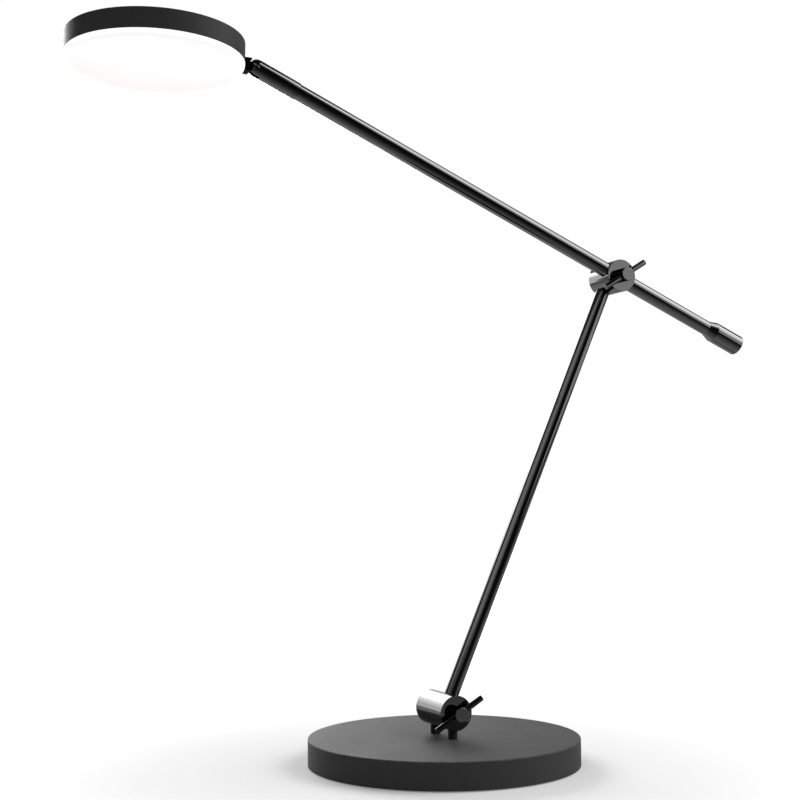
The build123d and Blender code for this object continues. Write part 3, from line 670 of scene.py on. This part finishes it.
baseCuts, topCuts = drums["base"], drums["top"]
endEdge, seamEdge, depth = drums["endEdge"], drums["seamEdge"], drums["recessDepth"]
addDrum("baseDrumFront", openDrum(baseCuts[0], baseCuts[1], endEdge, seamEdge),
        "basePivot", "base", "base_knuckle_front")
addDrum("baseDrumArm", openDrum(baseCuts[2], baseCuts[3], seamEdge, seamEdge, depth, depth),
        "basePivot", "lower_arm", "arm_knuckle")
addDrum("baseDrumRear", blindDrum(baseCuts[4], baseCuts[5], 0.0), "basePivot", "base", "base_knuckle_rear")
addDrum("topDrumRear", blindDrum(topCuts[2], topCuts[3], depth), "topPivot", "lower_arm", "top_knuckle_rear")
addDrum("topDrumFront", openDrum(topCuts[0], topCuts[1], endEdge, seamEdge),
        "topPivot", "upper_arm", "top_knuckle_front")

clamps = {
    "bossRadius": 0.006, "bossLength": 0.01, "bossEdge": 0.0004,
    "shankRadius": 0.003, "seatGap": 0.0001, "seatEdge": 0.0001, "tipEdge": 0.0002,
    "barRadius": 0.0025, "barHalf": 0.024, "barEdge": 0.0004, "barAhead": 0.0052, "steps": 72,
    "base": {"pivot": "basePivot", "front": baseCuts[0], "rear": baseCuts[5], "angle": 30.0},
    "top": {"pivot": "topPivot", "front": topCuts[0], "rear": topCuts[3], "angle": 31.0},
}


# T-screw in front of a drum: a turned boss with its shank, and a plain bar through the boss.
def addClamp(side):
    clamp = clamps[side]
    boss, shank = clamps["bossRadius"], clamps["shankRadius"]
    seat = clamp["front"] - clamps["seatGap"]
    nose = seat - clamps["bossLength"]
    tip = clamp["rear"] - drums["blindWall"] - clamps["seatGap"]
    corners = [(0.0, nose), (boss, nose), (boss, seat), (shank, seat), (shank, tip), (0.0, tip)]
    radii = [None, clamps["bossEdge"], clamps["seatEdge"], clamps["seatEdge"], clamps["tipEdge"], None]
    profile = roundedProfile(corners, radii, False)
    grid = turnedGrid(profile, arms[clamp["pivot"]], (0.0, 1.0, 0.0), clamps["steps"])
    addTurned(side + "ClampScrew", [grid], blackChrome, side + "_clamp", side + "_clamp_screw")
    half, edge = clamps["barHalf"], clamps["barEdge"]
    corners = [(0.0, -half), (clamps["barRadius"], -half), (clamps["barRadius"], half), (0.0, half)]
    profile = roundedProfile(corners, [None, edge, edge, None], False)
    angle = radians(clamp["angle"])
    place = armPlace(clamp["pivot"], clamp["front"] - clamps["barAhead"])
    grid = turnedGrid(profile, place, (np.cos(angle), 0.0, np.sin(angle)), clamps["steps"])
    addTurned(side + "ClampBar", [grid], blackChrome, side + "_clamp", side + "_clamp_bar")


addClamp("base")
addClamp("top")
print("clamp joints made")

tailWeight = {
    "tail": -0.1424, "shoulder": -0.1132, "neck": -0.105, "spigotEnd": -0.089,
    "radius": 0.0092, "neckRadius": 0.0065, "spigotRadius": 0.00498, "edge": 0.0008, "fine": 0.0002,
}
wide, neck, spigot = tailWeight["radius"], tailWeight["neckRadius"], tailWeight["spigotRadius"]
weightCorners = [
    (0.0, tailWeight["tail"]), (wide, tailWeight["tail"]), (wide, tailWeight["shoulder"]),
    (neck, tailWeight["neck"]), (spigot, tailWeight["neck"]), (spigot, tailWeight["spigotEnd"]),
    (0.0, tailWeight["spigotEnd"])]
weightRadii = [None, tailWeight["edge"]] + [tailWeight["fine"]] * 4 + [None]
weightGrid = armGrid(roundedProfile(weightCorners, weightRadii, False), "upper")
addTurned("tailWeight", [weightGrid], blackChrome, "upper_arm", "counterweight")
print("tail weight made")

head = {
    "place": headTilt["centre"], "axis": (np.sin(headPitch), 0.0, np.cos(headPitch)),
    "radius": 0.06839, "bore": 0.0672, "height": 0.01589, "ceiling": 0.0139, "topEdge": 0.0008,
    "fine": 0.0002, "steps": 224,
    "diffuserRadius": 0.0671, "lipGap": 0.00002, "skirt": 0.006, "drop": 0.0048, "crown": 0.0018,
    "wall": 0.002, "edge": 0.004, "crownSteps": 10,
}
cupCorners = [(0.0, head["ceiling"]), (head["bore"], head["ceiling"]), (head["bore"], 0.0),
              (head["radius"], 0.0), (head["radius"], head["height"]), (0.0, head["height"])]
cupRadii = [None, head["fine"], head["fine"], head["fine"], head["topEdge"], None]
cupGrid = turnedGrid(
    roundedProfile(cupCorners, cupRadii, False), head["place"], head["axis"], head["steps"])
addTurned("headCup", [cupGrid], headPaint, "head", "head_housing")


# Shallow bowl: depth falls with the square of the distance from the middle, down to the drop.
def crownPoints(radius, drop):
    out = np.linspace(0.0, 1.0, head["crownSteps"], endpoint=False)
    return list(zip(out * radius, -drop - head["crown"] * (1.0 - out ** 2)))


outerBowl = crownPoints(head["radius"], head["drop"])
innerRadius = head["diffuserRadius"] - head["wall"]
innerDrop = head["drop"] - head["wall"]
innerBowl = crownPoints(innerRadius, innerDrop)[::-1]
bowlCorners = outerBowl + [
    (head["radius"], -head["drop"]), (head["radius"], -head["lipGap"]),
    (head["diffuserRadius"], -head["lipGap"]), (head["diffuserRadius"], head["skirt"]),
    (innerRadius, head["skirt"]), (innerRadius, -innerDrop)] + innerBowl
bowlRadii = [None] * len(outerBowl) + [
    head["edge"], head["fine"] / 2, head["fine"] / 2, head["fine"], head["fine"],
    head["edge"] - head["wall"]] + [None] * len(innerBowl)
bowlGrid = turnedGrid(
    roundedProfile(bowlCorners, bowlRadii, False), head["place"], head["axis"], head["steps"])
addTurned("opalBowl", [bowlGrid], opal, "head", "diffuser")
print("head made")

copies = [
    ("baseShell", "base_shell", basePaint, "base"),
    ("swivelSleeve", "swivel_sleeve", sleeveBlack, "swivel"),
    ("postFront", "post_front", postBlack, "base"),
    ("postRear", "post_rear", postBlack, "base"),
    ("hingePin", "hinge_pin", screwSteel, "swivel"),
    ("footPad", "foot_pad", padRubber, "base"),
    ("powerInlet", "power_inlet", blackPlastic, "base"),
]
for values in copies:
    smoothCopy(*values)
print("copies smoothed")

studio = {
    "aim": (0.0, 0.0, 0.3),  # the lamps face this point
    "floorSize": 24.0,
    "floorColour": grey(0.42),
    "liftWithPaintedShadow": (0.18, 0.9),  # glow seen directly, near the lamp and far out; kept low near the lamp, which paints a shadow round it
    "paintedShadowRadius": (0.12, 0.75),
    "mirrorShare": (0.1, 1.7),  # glow seen in mirrors, from the near side to the far side
    "mirrorDepth": (-1.1, 0.4),
    "mirrorCurve": 2.8,
    "mirrorLean": 0.35,  # how soon the right side counts as far
    "mirrorFade": (0.5, 1.6, 1.0, 0.4),
    "cornerSide": (0.05, 0.3),  # the mirrored corner on the far right is darker
    "cornerDepth": (0.0, 0.1),
    "cornerDark": 0.75,
    "ambient": 0.34,  # fill light on plain surfaces
    "backdropWay": (0.17, 0.985, 0.5),
    "backdropEdge": (0.55, 0.92),
    "backdropShare": 0.55,
    "frontDark": 0.03,
}


# A square sheet of plain paper. What sees it directly gets a lift towards white on top of
# its own shaded grey, more of it further out, so that a painted shadow rings the lamp; in mirrors the near
# side falls off to dark.
def addFloor(settings):
    half = settings["floorSize"] / 2
    corners = [(-half, -half, 0.0), (half, -half, 0.0), (half, half, 0.0), (-half, half, 0.0)]
    mesh = bpy.data.meshes.new("floor")
    mesh.from_pydata(corners, [], [(0, 1, 2, 3)])
    floor = bpy.data.objects.new("floor", mesh)
    bpy.context.scene.collection.objects.link(floor)
    material = bpy.data.materials.new("floorPaper")
    material.use_nodes = True
    tree = material.node_tree
    tree.nodes.clear()
    place = tree.nodes.new("ShaderNodeTexCoord").outputs["Object"]
    parts = addNode(tree, "ShaderNodeSeparateXYZ", None, {"Vector": place}).outputs
    away = addNode(tree, "ShaderNodeVectorMath", {"operation": "LENGTH"}, {0: place}).outputs["Value"]
    # painted shadow: a smaller lift near the lamp darkens the paper around it
    liftWithPaintedShadow = spread(tree, away, *settings["paintedShadowRadius"], *settings["liftWithPaintedShadow"], smooth=True)
    toRight = calc(tree, "MAXIMUM", parts["X"], 0.0)
    depth = calc(tree, "MULTIPLY_ADD", toRight, settings["mirrorLean"], parts["Y"])
    depth = calc(tree, "POWER", spread(tree, depth, *settings["mirrorDepth"]), settings["mirrorCurve"])
    mirrored = spread(tree, depth, 0.0, 1.0, *settings["mirrorShare"])
    mirrored = calc(tree, "MULTIPLY", mirrored, spread(tree, away, *settings["mirrorFade"]))
    aside = spread(tree, calc(tree, "SUBTRACT", parts["X"], parts["Y"]), *settings["cornerSide"])
    behind = spread(tree, parts["Y"], *settings["cornerDepth"], 0.0, settings["cornerDark"])
    corner = calc(tree, "MULTIPLY", aside, behind)
    mirrored = calc(tree, "MULTIPLY", mirrored, calc(tree, "SUBTRACT", 1.0, corner))
    path = tree.nodes.new("ShaderNodeLightPath").outputs
    inMirror = calc(tree, "MULTIPLY", path["Is Glossy Ray"], mirrored)
    paperColour = blendColours(tree, path["Is Glossy Ray"], settings["floorColour"], grey(0.0))
    seen = calc(tree, "MAXIMUM", path["Is Camera Ray"], path["Is Transmission Ray"])
    strength = calc(tree, "MULTIPLY_ADD", seen, liftWithPaintedShadow, inMirror)
    paper = addNode(tree, "ShaderNodeBsdfDiffuse", None, {"Color": paperColour})
    glow = addNode(tree, "ShaderNodeEmission", None, {"Color": grey(1.0), "Strength": strength})
    both = addNode(tree, "ShaderNodeAddShader", None, {0: paper.outputs[0], 1: glow.outputs[0]})
    output = tree.nodes.new("ShaderNodeOutputMaterial")
    tree.links.new(both.outputs[0], output.inputs["Surface"])
    mesh.materials.append(material)


# White backdrop for direct sight; mirrors see it behind the lamp and a dark room in front;
# everything else gets a plain grey fill.
def setWorld(settings):
    world = bpy.data.worlds.new("studioWorld")
    bpy.context.scene.world = world
    world.use_nodes = True
    tree = world.node_tree
    tree.nodes.clear()
    path = tree.nodes.new("ShaderNodeLightPath").outputs
    way = tree.nodes.new("ShaderNodeTexCoord").outputs["Generated"]
    inputs = {0: way, 1: settings["backdropWay"]}
    toBack = addNode(tree, "ShaderNodeVectorMath", {"operation": "DOT_PRODUCT"}, inputs).outputs["Value"]
    shares = (settings["frontDark"], settings["backdropShare"])
    mirror = spread(tree, toBack, *settings["backdropEdge"], *shares, smooth=True)
    direct = calc(tree, "MAXIMUM", path["Is Camera Ray"], path["Is Transmission Ray"])
    strength = calc(tree, "MAXIMUM", direct, calc(tree, "MULTIPLY", path["Is Glossy Ray"], mirror))
    seen = calc(tree, "MAXIMUM", direct, path["Is Glossy Ray"])
    fill = calc(tree, "MULTIPLY", calc(tree, "SUBTRACT", 1.0, seen), settings["ambient"])
    strength = calc(tree, "ADD", strength, fill)
    sky = addNode(tree, "ShaderNodeBackground", None, {"Color": grey(1.0), "Strength": strength})
    output = tree.nodes.new("ShaderNodeOutputWorld")
    tree.links.new(sky.outputs[0], output.inputs["Surface"])


# A rectangular lamp at a bearing from the middle of the object and facing it; its power is
# four times its radiance times its area. Width and height are angles seen from there.
def addSoftbox(name, azimuth, elevation, distance, width, height, radiance):
    aim = Vector(studio["aim"])
    bearing, rise = radians(azimuth), radians(elevation)
    toward = Vector((np.cos(bearing) * np.cos(rise), np.sin(bearing) * np.cos(rise), np.sin(rise)))
    data = bpy.data.lights.new(name, "AREA")
    data.shape = "RECTANGLE"
    data.size = 2 * distance * np.tan(radians(width / 2))
    data.size_y = 2 * distance * np.tan(radians(height / 2))
    data.energy = 4.0 * radiance * data.size * data.size_y
    lamp = bpy.data.objects.new(name, data)
    bpy.context.scene.collection.objects.link(lamp)
    lamp.location = aim + toward * distance
    lamp.rotation_euler = (aim - lamp.location).to_track_quat("-Z", "Y").to_euler()
    lamp.visible_camera = False


# bearing, elevation, distance in metres, width and height in degrees, radiance
softboxes = {
    "keyWide": (-27.5, 25.0, 2.4, 57.0, 66.0, 1.45),
    "keyCore": (-21.0, 39.0, 2.4, 40.0, 40.0, 3.8),
    "keyStrip": (-7.5, 33.5, 2.45, 14.0, 12.0, 2.8),
    "backWide": (98.7, 13.0, 2.4, 47.5, 40.0, 3.3),
    "backMiddle": (96.0, 20.0, 2.4, 42.0, 26.0, 1.6),
    "backUpper": (95.5, 23.0, 2.4, 41.0, 20.0, 2.0),
    "backHigh": (94.0, 25.5, 2.4, 38.0, 15.0, 4.6),
    "backEdge": (71.3, 13.0, 2.4, 6.2, 14.0, 6.5),
    "backLow": (65.0, 2.0, 2.4, 9.0, 13.0, 1.35),
    "sideBox": (201.0, 37.0, 2.4, 56.0, 28.0, 0.7),
    "sideWide": (212.0, 33.0, 2.4, 78.0, 38.0, 0.3),
}
addFloor(studio)
setWorld(studio)
for name, values in softboxes.items():
    addSoftbox(name, *values)
print("studio made")

bpy.context.scene.view_settings.view_transform = "Standard"
